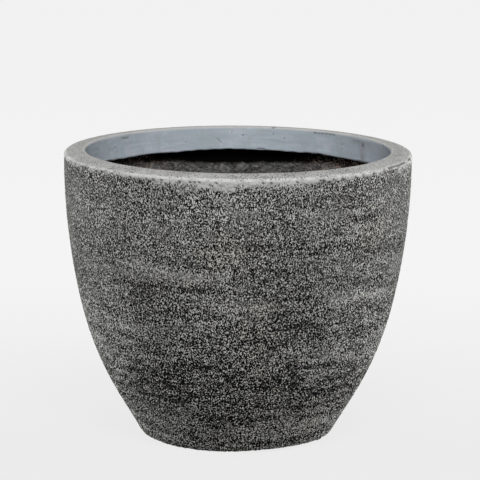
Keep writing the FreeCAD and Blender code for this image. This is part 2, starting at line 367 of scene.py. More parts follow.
def addCamera():
    tilt = math.radians(photoCamera["elevation"])
    toCamera = Vector((0, -math.cos(tilt), math.sin(tilt)))
    up = Vector((0, math.sin(tilt), math.cos(tilt)))
    aim = Vector((0, 0, photoCamera["aimHeight"]))
    location = aim + toCamera * photoCamera["distance"]
    middle = aim + Vector((1, 0, 0)) * photoCamera["aimRight"] + up * photoCamera["aimUp"]
    data = bpy.data.cameras.new("photoCamera")
    data.lens = photoCamera["lens"]
    data.sensor_width = photoCamera["sensor"]
    data.clip_end = photoCamera["clipEnd"]
    camera = bpy.data.objects.new("photoCamera", data)
    look = (middle - location).to_track_quat("-Z", "Y").to_matrix().to_4x4()
    roll = Matrix.Rotation(math.radians(photoCamera["roll"]), 4, "Z")
    camera.matrix_world = Matrix.Translation(location) @ look @ roll
    scene.collection.objects.link(camera)
    scene.camera = camera


studio = {
    "floorSize": 40.0,
    "floorPale": 0.995,     # what the camera sees of the floor, behind the planter
    "floorNear": 0.903,     # and in front of it
    "floorFade": (-0.2, 1.3),           # from where to where, going back, it turns pale
    "floorGrey": 0.32,      # how pale it is for the light that it throws back
    "shadowShare": 0.12,    # how much of the floor's own light and shade shows
    "shadowSides": (1.1, 1.9),          # and how far to the sides that ends
    "underPlanter": (0.013, 0.008),     # squared radii within which the paper does not glow
    "worldLight": 0.14,
    "lampAim": 0.18,
    "lamps": [              # name, place, width, height, watts
        ("keyLamp", (0.2, -2.6, 2.9), 1.6, 1.2, 136.0),
        ("topLamp", (0.1, 0.4, 3.3), 1.6, 1.6, 10.0),
        ("leftLamp", (-2.3, 1.1, 0.16), 1.2, 0.28, 73.0),
        ("rightLamp", (2.3, 1.1, 0.16), 1.2, 0.28, 83.0),
    ],
}


def seenDirectly(tree):  # 1 for what the camera, a mirror or glass sees
    path = addNode(tree, "ShaderNodeLightPath")
    seen = calc(tree, "MAXIMUM", path.outputs["Is Camera Ray"], path.outputs["Is Glossy Ray"])
    return calc(tree, "MAXIMUM", seen, path.outputs["Is Transmission Ray"])


def addFloor():
    size = studio["floorSize"]
    mesh = bpy.data.meshes.new("studioFloor")
    corners = [(-size, -size, 0), (size, -size, 0), (size, size, 0), (-size, size, 0)]
    mesh.from_pydata(corners, [], [(0, 1, 2, 3)])
    floor = bpy.data.objects.new("studioFloor", mesh)
    scene.collection.objects.link(floor)
    material, tree, shader = newMaterial("studioPaper", 0.0)
    shader.inputs["Base Color"].default_value = grey(studio["floorGrey"])
    shader.inputs["Roughness"].default_value = 1.0
    across, back, _ = axes(tree, addNode(tree, "ShaderNodeNewGeometry").outputs["Position"])
    glow = tint(tree, fade(tree, back, *studio["floorFade"]),
                grey(studio["floorNear"]), grey(studio["floorPale"]))
    paper = addNode(tree, "ShaderNodeEmission", {"Color": glow})
    squared = total(tree, (across, across), (back, back))
    aside = calc(tree, "ABSOLUTE", across)
    shaded = fade(tree, aside, *studio["shadowSides"], studio["shadowShare"], 0.0)
    shaded = calc(tree, "MAXIMUM", shaded, fade(tree, squared, *studio["underPlanter"]))
    share = product(tree, seenDirectly(tree), calc(tree, "SUBTRACT", 1.0, shaded))
    both = addNode(tree, "ShaderNodeMixShader", {0: share, 1: shader.outputs[0], 2: paper.outputs[0]})
    tree.links.new(both.outputs[0], tree.nodes["Material Output"].inputs["Surface"])
    mesh.materials.append(material)


def addWorld():
    world = bpy.data.worlds.new("studioWorld")
    world.use_nodes = True
    scene.world = world
    tree = world.node_tree
    light = tree.nodes["Background"]
    light.inputs["Color"].default_value = grey(1.0)
    light.inputs["Strength"].default_value = studio["worldLight"]
    backdrop = addNode(tree, "ShaderNodeBackground", {"Color": grey(studio["floorPale"]), "Strength": 1.0})
    both = addNode(tree, "ShaderNodeMixShader",
                   {0: seenDirectly(tree), 1: light.outputs[0], 2: backdrop.outputs[0]})
    tree.links.new(both.outputs[0], tree.nodes["World Output"].inputs["Surface"])


def addLamps():
    aim = Vector((0, 0, studio["lampAim"]))
    for name, where, width, height, watts in studio["lamps"]:
        data = bpy.data.lights.new(name, "AREA")
        data.shape = "RECTANGLE"
        data.size = width
        data.size_y = height
        data.energy = watts
        lamp = bpy.data.objects.new(name, data)
        lamp.location = where
        lamp.visible_camera = False
        lamp.rotation_euler = (aim - Vector(where)).to_track_quat("-Z", "Y").to_euler()
        scene.collection.objects.link(lamp)


addCamera()
addFloor()
addWorld()
addLamps()
print("camera and studio set")


# cement face: charcoal grit with pale ridges rubbed along it in level streaks
faceFinish = {
    "columns": 1040,        # points round the face, the same on the wall and the rim
    "step": 0.0013,         # and their spacing up it
    "gritScale": 660.0,
    "gritTall": 0.72,
    "knobScale": 330.0,
    "lumpScale": 100.0,
    "lumpFlat": 2.2,
    "streakScale": 11.0,
    "streakFlat": 15.0,
    "depth": 0.0012,
    "pit": grey(0.004, 0.05),
    "ridge": grey(0.52, 0.04),
    "ridgeLow": grey(0.68, 0.04),
    "smear": grey(0.45, 0.03),
    "smearDull": grey(0.29, 0.04),
    "dust": (1.0, 0.985, 0.945, 1.0),
    "contrast": (4.7, 17.0),            # of the grit, on the upper and on the lower wall
    "contrastHeights": (0.24, 0.08),    # and where the one ends and the other starts
    "sideContrast": 0.58,   # share of it left at the sides
    "sideEdges": (0.172, 0.218),        # how far out it starts to drop, and ends
    "ridgeHeights": (0.17, 0.07),       # where ridge turns into ridgeLow
    "ridgeSharpness": 2.2,
    "evenCover": 0.650,     # cover that is neither pit nor ridge
    "streakStrength": 0.15,
    "paleStreakContrast": 0.62,         # pale streaks are smoother
    "smearPatches": [       # from angle, to angle, height, width
        (-102.4, -99.9, 0.3625, 0.005),
        (-96.6, -91.6, 0.3602, 0.0075),
    ],
    "streaks": [            # shade, width in mm, and points of angle and height in mm
        (-0.30, 6, [(-138, 228), (-125, 230), (-101, 228)]),
        (-0.16, 6, [(-101, 228), (-89, 224), (-61, 216)]),
        (0.32, 9, [(-133, 255), (-118, 248), (-93, 249)]),
        (-0.33, 7, [(-87, 287), (-68, 284)]),
        (-0.31, 7, [(-62, 284), (-46, 280)]),
        (0.40, 12, [(-57, 212), (-23, 205)]),
        (-0.24, 12, [(-77, 188), (-56, 176)]),
        (0.20, 11, [(-106, 213), (-81, 202)]),
        (0.18, 12, [(-86, 148), (-50, 134), (-27, 132)]),
        (-0.26, 9, [(-71, 126), (-42, 119)]),
        (-0.14, 34, [(-125, 140), (-112, 100)]),
        (0.20, 6, [(-140, 72), (-98, 70)]),
        (-0.24, 9, [(-110, 55), (-96, 50), (-74, 54)]),
        (0.18, 9, [(-99, 32), (-71, 42), (-43, 39)]),
        (-0.28, 9, [(-77, 16), (-39, 14)]),
        (-0.28, 7, [(-51, 313), (-39, 312)]),
        (0.10, 40, [(-50, 152), (-14, 150)]),
        (0.24, 42, [(-58, 114), (-34, 110)]),
        (0.12, 40, [(-165, 150), (-135, 152)]),
        (0.17, 38, [(-165, 108), (-128, 116)]),
        (0.28, 7, [(-97, 343), (-88, 344)]),
        (0.11, 24, [(-70, 98), (-58, 100)]),
        (0.32, 11, [(-137, 168), (-119, 173), (-101, 182)]),
        (0.28, 10, [(-91, 215), (-71, 208)]),
        (0.18, 9, [(-93, 195), (-79, 196)]),
        (0.28, 9, [(-94, 328), (-83, 326)]),
        (0.34, 9, [(-68, 324), (-47, 322)]),
        (0.22, 9, [(-119, 302), (-98, 298)]),
        (0.34, 8, [(-154, 241), (-137, 244), (-122, 240), (-102, 241)]),
        (0.12, 10, [(-81, 140), (-55, 144)]),
        (0.22, 9, [(-63, 85), (-46, 86)]),
        (0.18, 9, [(-153, 88), (-132, 78), (-109, 72)]),
        (-0.38, 9, [(-63, 276), (-52, 275), (-14, 258)]),
        (-0.22, 8, [(-88, 280), (-63, 276)]),
        (-0.30, 9, [(-62, 164), (-47, 166), (-5, 158)]),
        (-0.24, 11, [(-105, 322), (-97, 312)]),
        (-0.34, 10, [(-175, 152), (-132, 158)]),
        (-0.20, 8, [(-81, 364), (-67, 349)]),
        (-0.11, 8, [(-102, 162), (-90, 162)]),
        (-0.11, 8, [(-97, 87), (-65, 86)]),
        (-0.12, 8, [(-150, 62), (-128, 65)]),
        (-0.26, 9, [(-107, 38), (-86, 42), (-69, 55)]),
        (-0.26, 9, [(-58, 48), (-25, 46)]),
        (-0.22, 7, [(-78, 153), (-66, 150)]),
        (-0.22, 9, [(-103, 286), (-93, 286)]),
        (-0.22, 11, [(-106, 258), (-81, 254), (-62, 251)]),
        (-0.20, 8, [(-92, 240), (-69, 240)]),
        (-0.20, 7, [(-81, 300), (-69, 300)]),
        (-0.18, 8, [(-128, 202), (-111, 211)]),
        (-0.16, 8, [(-96, 176), (-73, 175)]),
        (-0.14, 9, [(-112, 99), (-95, 106)]),
        (0.22, 8, [(-127, 260), (-113, 256)]),
        (0.16, 8, [(-72, 112), (-62, 112)]),
        (0.12, 10, [(-135, 112), (-118, 118)]),
        (0.16, 9, [(-136, 13), (-108, 22)]),
    ],
    "footDips": [           # angle, and mm below the foot's plane
        (-180, 0.3), (-150, 0.6), (-130, 2.0), (-105, 2.2), (-90, 1.6), (-75, 0.2), (-60, -0.5),
        (-31, -0.4), (-28, 0.9), (-25.5, -0.6), (-15, -0.3), (0, 0.0), (90, 0.2),
    ],
    "dipTop": 0.020,        # the foot's dips end at this height
    "dipFade": 0.017,
    "dipRadius": 0.112,     # and start at this radius
    "dipGrow": 0.008,
}


def faceKnobs(tree, place):
    knobs = noise(tree, place, faceFinish["knobScale"], 1.0, 0.5, 0.3, (1, 1, faceFinish["gritTall"]))
    return knobs, noise(tree, place, faceFinish["lumpScale"], 1.0, stretch=(1, 1, faceFinish["lumpFlat"]))


def faceHeight(tree, place):
    knobs, lumps = faceKnobs(tree, place)
    return total(tree, (fade(tree, knobs, 0.3, 0.7), 0.72), (lumps, 0.28))


def rubbedShare(tree, place):  # more skin at the front edge, bare grit under the edge at the sides
    across, back, height = axes(tree, place)
    low = fade(tree, height, 0.3685, 0.3650)
    left = fade(tree, across, -0.07, -0.17)
    right = product(tree, fade(tree, across, 0.09, 0.15), fade(tree, across, 0.205, 0.185))
    bare = total(tree, (left, calc(tree, "MAXIMUM", low, 0.3)), (right, low))
    front = fade(tree, back, -0.09, -0.20)
    rightEnd = fade(tree, across, 0.180, 0.200)
    return total(tree, (front, 0.25), (rightEnd, 0.17), (bare, -0.6))


def faceCover(tree, place):  # the grit, and how much of the face its pale skin covers
    finish = faceFinish
    knobs, lumps = faceKnobs(tree, place)
    grit = noise(tree, place, finish["gritScale"], 1.0, 0.6, 0.2, (1, 1, finish["gritTall"]))
    streaks = noise(tree, place, finish["streakScale"], 3.0, 0.6, 0.0, (1, 1, finish["streakFlat"]))
    patches = noise(tree, place, 9.0, 2.0, 0.5, 0.0, (1, 1, 2))
    cover = total(tree, (grit, 1.0), (knobs, 0.02), (lumps, 0.03), (streaks, 0.13), (patches, 0.10))
    return grit, cover


def litShare(tree, place, cover):  # 0 in the pits of the grit and 1 on its ridges
    finish = faceFinish
    across, _, height = axes(tree, place)
    worn = noise(tree, place, 24.0, 3.0, 0.6, 0.0, (1, 1, 4), (5.0, 2.0, 7.0))
    aside = calc(tree, "ABSOLUTE", across)
    contrast = product(tree, fade(tree, height, *finish["contrastHeights"], *finish["contrast"]),
                       fade(tree, worn, 0.40, 0.62, 1.15, 0.62),
                       fade(tree, aside, *finish["sideEdges"], 1.0, finish["sideContrast"]))
    level = total(tree, (fade(tree, height, 0.25, 0.15, 0.47, 0.25), 1.0),
                  (fade(tree, height, 0.165, 0.085), -0.82), (fade(tree, height, 0.075, 0.035), 0.40))
    shade = attribute(tree, "shade")
    softer = product(tree, contrast, fade(tree, shade, 0.04, 0.34, 1.0, finish["paleStreakContrast"]))
    streaked = product(tree, shade, finish["streakStrength"], contrast)
    uneven = calc(tree, "SUBTRACT", cover, finish["evenCover"])
    lit = total(tree, (uneven, softer), (streaked, 1.0), (level, 1.0))
    return calc(tree, "MINIMUM", calc(tree, "MAXIMUM", lit, 0.0), 1.0)


def skinShare(tree, place, grit):  # where the rim's pale skin runs down over the grit
    height = axes(tree, place)[2]
    drips = total(tree, (noise(tree, place, 90.0, 3.0, 0.65, 0.0, (1, 1, 0.6)), 0.62),
                  (noise(tree, place, 15.0, 1.0), 0.28), (rubbedShare(tree, place), 1.0))
    skin = calc(tree, "ADD", drips, fade(tree, height, 0.343, 0.3685, -0.56, -0.03))
    skin = calc(tree, "MINIMUM", skin, fade(tree, height, 0.3605, 0.3680, 0.50, 0.68))
    skin = total(tree, (skin, 1.0), (attribute(tree, "pale"), 0.16))
    return fade(tree, total(tree, (grit, 0.9), (skin, 1.0)), 0.82, 1.06)


def faceColour(tree, place):  # colour of the face, and its cover
    grit, cover = faceCover(tree, place)
    height = axes(tree, place)[2]
    low = fade(tree, height, *faceFinish["ridgeHeights"])
    ridge = tint(tree, low, faceFinish["ridge"], faceFinish["ridgeLow"])
    lit = calc(tree, "POWER", litShare(tree, place, cover), faceFinish["ridgeSharpness"])
    colour = tint(tree, lit, faceFinish["pit"], ridge)
    dusty = fade(tree, noise(tree, place, 11.0, 3.0, 0.6, shift=(3.0, 1.0, 2.0)), 0.48, 0.70)
    colour = addNode(tree, "ShaderNodeMix", {0: dusty, 6: colour, 7: faceFinish["dust"]},
                     data_type="RGBA", blend_type="MULTIPLY").outputs[2]
    wiped = noise(tree, place, 130.0, 3.0, 0.6, 0.0, (1, 1, 2.5))
    smear = tint(tree, fade(tree, wiped, 0.36, 0.56), faceFinish["smearDull"], faceFinish["smear"])
    return tint(tree, skinShare(tree, place, grit), colour, smear), cover


def faceRoughness(tree, cover):
    return fade(tree, cover, 0.6, 1.0, 0.97, 0.82)


def wallMaterial():
    material, tree, shader = newMaterial("roughCastCement", 0.04)
    place = attribute(tree, "restPlace", "Vector")
    colour, cover = faceColour(tree, place)
    tree.links.new(colour, shader.inputs["Base Color"])
    tree.links.new(faceRoughness(tree, cover), shader.inputs["Roughness"])
    bump(tree, shader, cover, 0.5, 0.001)
    return material


def smearMarks():  # where the skin was wiped down over the face by hand
    marks = []
    for start, end, height, width in faceFinish["smearPatches"]:
        path = [around(angle, rimRadius, height) for angle in (start, (start + end) / 2, end)]
        marks.append(newMark(path, width, pale=1.0))
    return marks


def streakMarks(outer):  # the level streaks that show most on the front
    radii, heights = zip(*outer)
    marks = []
    for shade, width, points in faceFinish["streaks"]:
        turns, levels = zip(*points)
        path = []
        for turn in np.linspace(turns[0], turns[-1], 10):
            level = np.interp(turn, turns, levels) / 1000
            path.append(around(turn, np.interp(level, heights, radii), level))
        marks.append(newMark(path, width / 1000, shade=shade))
    return marks


def buildWall():
    shape = planterShape
    step = faceFinish["step"]
    outer = wallFace(0.0, footPlane, capSeat, step)
    inner = wallFace(shape["wall"], footTop, capSeat, 0.030)
    above = round(3 * shape["footRounding"] / step)
    corners = [(shape["footOpening"], footPlane), outer[0], outer[above]]
    rounding = roundedRun(corners, step * 1.6, shape["footRounding"], False)
    loop = rounding + outer[above + 1:] + inner[::-1] + [(shape["footOpening"], footTop)]

    def roughDepth(radius, height):
        onFace = radius > shape["footOpening"] + 0.02 and (radius, height) not in inner
        return faceFinish["depth"] if onFace else 0.0

    turns = [turn for turn, dip in faceFinish["footDips"]]
    dips = [dip / 1000 for turn, dip in faceFinish["footDips"]]

    def reshape(radius, height, angle):  # the foot's edge, cast a little uneven
        dip = np.interp(np.degrees(angle), turns, dips, period=360)
        low = np.clip((faceFinish["dipTop"] - height) / faceFinish["dipFade"], 0, 1)
        out = np.clip((radius - faceFinish["dipRadius"]) / faceFinish["dipGrow"], 0, 1)
        return radius, height - dip * (low * out)

    marks = smearMarks() + streakMarks(outer)
    piece = turnedPiece("wall", loop, faceFinish["columns"], 2, roughDepth, reshape, marks)
    settle(piece, faceHeight)
    dress(piece, wallMaterial(), "pot", "outer_shell")
    print("wall", len(piece.data.polygons))


# rim: pale granular cement with rubbed smooth edges, their pale line partly a painted highlight, its skirt
# like the wall
rimFinish = {
    "grainScale": 480.0,
    "depth": 0.0006,
    "base": grey(0.41, 0.03),
    "speck": grey(0.06, 0.04),
    # pale rubbed paint on the rounded edges, partly a painted highlight
    "edge": grey(0.56, 0.03),
    # angle and radius along each groove
    "grooves": [[(-32, 0.2238), (-24, 0.2243), (-18, 0.2245)], [(-14, 0.2246), (-9, 0.2247)]],
    "grooveRise": 0.0028,   # above the start of the outer edge
    "grooveSize": (0.0028, 0.0015),     # width and depth
    "chips": [
        -126.9, -120.6, -118.1, -115.2, -108.9, -105.5, -104.0, -102.5, -97.0,
        -82.2, -79.6, -71.1, -63.0, -61.9, -58.2, -54.8, -49.3,
    ],
    "chipFall": (0.0002, 0.0012),       # from and to, under the start of the outer edge
    "chipTurn": 0.5,        # degrees that a chip runs on
    "chipSize": (0.0017, 0.0007),
    "chip": grey(0.05),
    "pits": [               # from angle, to angle, under the inner edge
        (59.0, 58.0), (57.0, 56.4), (55.5, 54.6), (53.6, 53.0), (52.0, 51.0), (50.0, 49.3), (16.5, 16.0),
    ],
    "pitHeights": (0.3714, 0.3710),
    "pitSize": (0.0019, 0.0006),
    "backChip": 76.2,       # one larger chip on the inner edge
    "backChipSize": (0.004, 0.0015),
}


def rimGrain(tree, place):
    return noise(tree, place, rimFinish["grainScale"], 1.5, 0.6)


def rimHeight(tree, place):  # the wall's grit on the skirt, fine grain on the crown
    height = axes(tree, place)[2]
    crown = fade(tree, rimGrain(tree, place), 0.3, 0.6, 1 - rimFinish["depth"] / faceFinish["depth"], 1.0)
    up = fade(tree, height, 0.3655, 0.3685)
    return total(tree, (faceHeight(tree, place), calc(tree, "SUBTRACT", 1.0, up)), (crown, up))


def crownColour(tree, place, grain):
    across, back, _ = axes(tree, place)
    patches = noise(tree, place, 40.0, 3.0)
    aside = calc(tree, "ABSOLUTE", across)
    # fewer dark specks toward the back: a painted lightening of the far crown, which is seen edge-on; fewer
    # at the sides as well
    speck = product(tree, fade(tree, total(tree, (grain, 1.0), (patches, 0.3)), 0.72, 0.46),
                    fade(tree, back, 0.08, 0.17, 1.0, 0.4), fade(tree, aside, 0.10, 0.19, 1.0, 0.7))
    return tint(tree, speck, rimFinish["base"], rimFinish["speck"])


def rubbedEdgeAndHighlight(tree, place, grain):  # the smooth pale line round the outer edge, and the inner edge: rubbed paint and a painted highlight on the rounded edges
    across, back, height = axes(tree, place)
    radius = distanceOut(tree, place)
    ragged = total(tree, (height, 1.0), (noise(tree, place, 160.0, 2.0, 0.6), 0.006))
    line = product(tree, fade(tree, ragged, 0.3670, 0.3705), fade(tree, height, 0.3728, 0.3708),
                   fade(tree, radius, 0.210, 0.216))
    # less of the outer line toward the right end: painted shade against the lamp on the right
    paleEdgeAndHighlight = total(tree, (fade(tree, across, 0.215, 0.15), 0.26),
                   (fade(tree, across, -0.08, -0.17), -0.08),
                   (noise(tree, place, 90.0, 3.0, 0.6), 1.0), (grain, 0.6))
    paleEdgeAndHighlight = product(tree, line, fade(tree, paleEdgeAndHighlight, 0.78, 1.18))
    inner = product(tree, fade(tree, radius, 0.2020, 0.2002), fade(tree, back, -0.19, -0.08, 0.2, 0.45))
    return calc(tree, "MAXIMUM", paleEdgeAndHighlight, inner)


def rimMaterial():
    material, tree, shader = newMaterial("granularCement", 0.05)
    place = attribute(tree, "restPlace", "Vector")
    height = axes(tree, place)[2]
    radius = distanceOut(tree, place)
    grain = rimGrain(tree, place)
    edge = rubbedEdgeAndHighlight(tree, place, grain)
    face, cover = faceColour(tree, place)
    smeared = total(tree, (height, 1.0), (noise(tree, place, 60.0, 3.0, 0.6), 0.004))
    lip = product(tree, fade(tree, smeared, 0.3765, 0.3730), fade(tree, radius, 0.204, 0.200))
    onTop = calc(tree, "MAXIMUM", fade(tree, height, 0.3680, 0.3705), fade(tree, radius, 0.215, 0.205))
    skirt = calc(tree, "SUBTRACT", 1.0, onTop)
    colour = tint(tree, onTop, face, crownColour(tree, place, grain))
    # pale rubbed edges, partly a painted highlight
    colour = tint(tree, product(tree, edge, 0.85), colour, rimFinish["edge"])
    colour = tint(tree, lip, colour, bandColour(tree, place)[0])
    colour = tint(tree, attribute(tree, "dark"), colour, rimFinish["chip"])
    tree.links.new(colour, shader.inputs["Base Color"])
    crownRoughness = fade(tree, grain, 0.3, 0.7, 0.78, 0.92)
    rough = total(tree, (faceRoughness(tree, cover), skirt), (crownRoughness, onTop))
    tree.links.new(rough, shader.inputs["Roughness"])
    grainy = product(tree, grain, calc(tree, "SUBTRACT", 1.0, edge))
    bump(tree, shader, total(tree, (grainy, onTop), (cover, skirt)), 0.5, 0.0009)
    return material


def buildRim():
    shape = planterShape
    mouth = shape["mouthRadius"]
    start = mouth + shape["innerEdge"]
    crownCentre = (start, crownHeight - shape["crownRadius"])
    swing = shape["crownRadius"] - shape["outerEdge"]
    edgeRadius = rimRadius - shape["outerEdge"]
    edgeAngle = math.acos((edgeRadius - start) / swing)
    edgeHeight = crownCentre[1] + swing * math.sin(edgeAngle)
    shellMouth = rimRadius - shape["wall"]
    # each run and bend ends with the spacing of its points
    loop = run((mouth, bandTop), (shellMouth, bandTop), 0.008)
    loop += run((shellMouth, bandTop), (shellMouth, capSeat), 0.005)
    loop += run((shellMouth, capSeat), (rimRadius, capSeat), 0.004)
    loop += run((rimRadius, capSeat), (rimRadius, edgeHeight), 0.0012)
    loop += bend((edgeRadius, edgeHeight), shape["outerEdge"], 0.0, edgeAngle, 0.0009)
    loop += bend(crownCentre, shape["crownRadius"], edgeAngle, math.pi / 2, 0.0012)
    innerCentre = (start, crownHeight - shape["innerEdge"])
    loop += bend(innerCentre, shape["innerEdge"], math.pi / 2, math.pi, 0.0008)
    loop += run((mouth, crownHeight - shape["innerEdge"]), (mouth, bandTop), 0.001)

    def roughDepth(radius, height):
        onCrown = radius > mouth + 0.004 and height > bandTop + 0.001
        return faceFinish["depth"] if onCrown or radius > rimRadius - 0.0001 else 0.0

    backChip = [around(rimFinish["backChip"], mouth + 0.002, crownHeight)]
    marks = [newMark(backChip, *rimFinish["backChipSize"], dark=0.8), *smearMarks()]
    for groove in rimFinish["grooves"]:
        path = [around(angle, radius, edgeHeight + rimFinish["grooveRise"]) for angle, radius in groove]
        marks.append(newMark(path, *rimFinish["grooveSize"], dark=0.95))
    upper, lower = rimFinish["chipFall"]
    for angle in rimFinish["chips"]:
        path = [around(angle, rimRadius, edgeHeight - upper),
                around(angle + rimFinish["chipTurn"], rimRadius, edgeHeight - lower)]
        marks.append(newMark(path, *rimFinish["chipSize"], dark=1.2))
    for pit in rimFinish["pits"]:
        path = [around(angle, mouth, height) for angle, height in zip(pit, rimFinish["pitHeights"])]
        marks.append(newMark(path, *rimFinish["pitSize"], dark=0.7))
    piece = turnedPiece("rimCrown", loop, faceFinish["columns"], 4, roughDepth, marks=marks)
    settle(piece, rimHeight)
    dress(piece, rimMaterial(), "pot", "rim_cap")
    print("rim", len(piece.data.polygons))


# mouth band: smooth blue-grey cement, trowelled round, with a hand-cut lower edge
bandFinish = {
    "base": (0.475, 0.555, 0.60, 1.0),
    "violet": (0.51, 0.535, 0.605, 1.0),
    "worn": (0.60, 0.65, 0.74, 1.0),
    "streak": (0.405, 0.455, 0.505, 1.0),
    "cloud": (0.38, 0.44, 0.465, 1.0),
    "pit": (0.06, 0.065, 0.07, 1.0),
    "stain": (0.10, 0.078, 0.064, 1.0),
    "chalk": grey(0.62),
    "columns": 1000,
    "depth": 0.0006,
    "edgeDepths": [         # angle, and mm under edgeFrom
        (-60, 32.0), (31.5, 32.8), (49, 32.4), (57, 30.4), (66, 31.3), (88, 30.1), (98, 29.9),
        (115, 32.0), (129, 31.5), (138, 33.2), (151, 31.6), (220, 32.0), (300, 32.0),
    ],
    "edgeFrom": 0.0012,     # below the crown
    "edgeReach": 0.012,     # how far up the edge is uneven
    "marks": [              # points of angle and height, width, depth, and shares of colour
        ([(98.2, 0.3585), (97.0, 0.3545), (96.6, 0.3520)], 0.0013, 0.0005, {"dark": 0.5}),
        ([(96.6, 0.3518)], 0.0022, 0.0003, {"pale": 0.9}),
        ([(33.6, 0.364), (33.4, 0.348)], 0.012, 0.0, {"shade": 0.4}),
        ([(33.2, 0.3645), (32.8, 0.3625)], 0.0035, 0.0, {"shade": 0.35}),
        ([(39.4, 0.3690), (34.6, 0.3685)], 0.003, 0.0, {"shade": 0.35}),
        ([(39.0, 0.3675), (28.0, 0.3660)], 0.010, 0.0, {"shade": 0.26}),
        ([(82.3, 0.3449), (79.8, 0.3447)], 0.0014, 0.001, {"dark": 0.9}),
        ([(141, 0.3688), (138, 0.3680)], 0.003, 0.0003, {"dark": 0.4}),
    ],
    "holes": [              # angle, height, width
        (159, 0.3620, 0.0022), (145.6, 0.3574, 0.0022), (111, 0.3547, 0.0015),
        (92.5, 0.3672, 0.0016), (71.7, 0.3604, 0.0018), (45.3, 0.3598, 0.0015),
    ],
    "holeDepth": 0.0008,
}


def bandHeight(tree, place):
    return noise(tree, place, 60.0, 2.0, 0.5, 0.0, (1, 1, 6))


def bandColour(tree, place):  # colour, trowel marks and small holes
    trowel = noise(tree, place, 26.0, 4.0, 0.62, 0.3, (1, 1, 6))
    clouds = noise(tree, place, 14.0, 2.0)
    grain = noise(tree, place, 330.0, 2.0, 0.6)
    hue = noise(tree, place, 48.0, 2.0, 0.5, 0.0, (1, 1, 2))
    base = tint(tree, fade(tree, hue, 0.40, 0.60), bandFinish["base"], bandFinish["violet"])
    smooth = fade(tree, total(tree, (trowel, 0.8), (clouds, 0.5), (grain, 0.35)), 0.66, 1.0)
    colour = tint(tree, smooth, bandFinish["streak"], base)
    rubs = noise(tree, place, 150.0, 2.0, 0.5, 0.0, (1, 1, 0.12))
    blotches = total(tree, (noise(tree, place, 30.0, 4.0, 0.65), 1.0), (rubs, 0.25))
    colour = tint(tree, fade(tree, blotches, 0.60, 0.78, 0.0, 0.8), colour, bandFinish["cloud"])
    right = axes(tree, place)[0]
    colour = tint(tree, fade(tree, right, 0.14, 0.195, 0.0, 0.7), colour, bandFinish["worn"])
    cells = addNode(tree, "ShaderNodeTexVoronoi", {"Vector": place, "Scale": 70.0}).outputs[0]
    some = fade(tree, noise(tree, place, 33.0), 0.52, 0.60)
    holes = product(tree, fade(tree, cells, 0.14, 0.06), some)
    return tint(tree, product(tree, holes, 0.5), colour, bandFinish["pit"]), trowel, holes


def bandMaterial():
    material, tree, shader = newMaterial("trowelledCement", 0.3)
    place = attribute(tree, "restPlace", "Vector")
    colour, trowel, holes = bandColour(tree, place)
    runs = fade(tree, noise(tree, place, 170.0, 3.0, 0.6, 0.0, (1, 1, 0.35)), 0.36, 0.62, 0.25, 1.0)
    colour = tint(tree, product(tree, attribute(tree, "shade"), runs), colour, bandFinish["stain"])
    colour = tint(tree, attribute(tree, "dark"), colour, bandFinish["stain"])
    colour = tint(tree, attribute(tree, "pale"), colour, bandFinish["chalk"])
    tree.links.new(colour, shader.inputs["Base Color"])
    tree.links.new(fade(tree, trowel, 0.3, 0.7, 0.55, 0.72), shader.inputs["Roughness"])
    bump(tree, shader, total(tree, (trowel, 0.6), (holes, -1.0)), 0.25, 0.0008)
    return material


def buildBand():
    shape = planterShape
    mouth = shape["mouthRadius"]
    edge = shape["bandEdge"]
    loop = run((mouth, bandTop), (mouth, bandBottom + edge), 0.0012)
    loop += bend((mouth + edge, bandBottom + edge), edge, math.pi, 1.5 * math.pi, 0.0008)
    loop += run((mouth + edge, bandBottom), (bandOuter, bandBottom), 0.003)
    loop += run((bandOuter, bandBottom), (bandOuter, bandTop), 0.009)
    loop += run((bandOuter, bandTop), (mouth, bandTop), 0.006)
    turns = [turn for turn, depth in bandFinish["edgeDepths"]]
    depths = [depth / 1000 for turn, depth in bandFinish["edgeDepths"]]

    def reshape(radius, height, angle):  # the lower edge, with small waves from the cutting
        degrees = (np.degrees(angle) + 60) % 360 - 60
        lower = crownHeight - bandFinish["edgeFrom"] - np.interp(degrees, turns, depths, period=360)
        lower += 0.0003 * np.sin(angle * 17 + 2) * np.sin(angle * 41 + 1) + 0.00015 * np.sin(angle * 67 + 4)
        low = np.clip((bandBottom + bandFinish["edgeReach"] - height) / bandFinish["edgeReach"], 0, 1)
        inside = np.clip((bandOuter - radius) / 0.008, 0, 1)
        return radius, height + (lower - bandBottom) * (low * inside)

    def roughDepth(radius, height):
        down = min(max((bandTop - height) / 0.015, 0.0), 1.0)  # flush with the rim at the top
        return bandFinish["depth"] * down if radius < mouth + 0.001 else 0.0

    marks = []
    for points, width, depth, shares in bandFinish["marks"]:
        path = [around(angle, mouth, height) for angle, height in points]
        marks.append(newMark(path, width, depth, **shares))
    for angle, height, width in bandFinish["holes"]:
        marks.append(newMark([around(angle, mouth, height)], width, bandFinish["holeDepth"], dark=0.7))
    piece = turnedPiece("mouthBand", loop, bandFinish["columns"], 4, roughDepth, reshape, marks)
    settle(piece, bandHeight)
    dress(piece, bandMaterial(), "pot", "mouth_band")
    print("band", len(piece.data.polygons))


buildWall()
buildRim()
buildBand()


# lining: brown-grey fibre mat in cement, with a painted shadow under the band
liningFinish = {
    "depth": 0.0016,
    "base": (0.080, 0.079, 0.077, 1.0),
    "fibre": (0.188, 0.184, 0.178, 1.0),
    "hollow": (0.022, 0.020, 0.018, 1.0),
    # painted shadow under the band's overhang
    "paintedShadow": (0.0012, 0.0012, 0.0012, 1.0),
    # brown crumbs, painted paler than their own colour as light that the band's shade keeps off them, paler
    # still to the right
    "paintedLightCrumb": (0.36, 0.26, 0.20, 1.0),
    "paintedLightCrumbRight": (0.60, 0.46, 0.38, 1.0),
    "columns": 420,
}


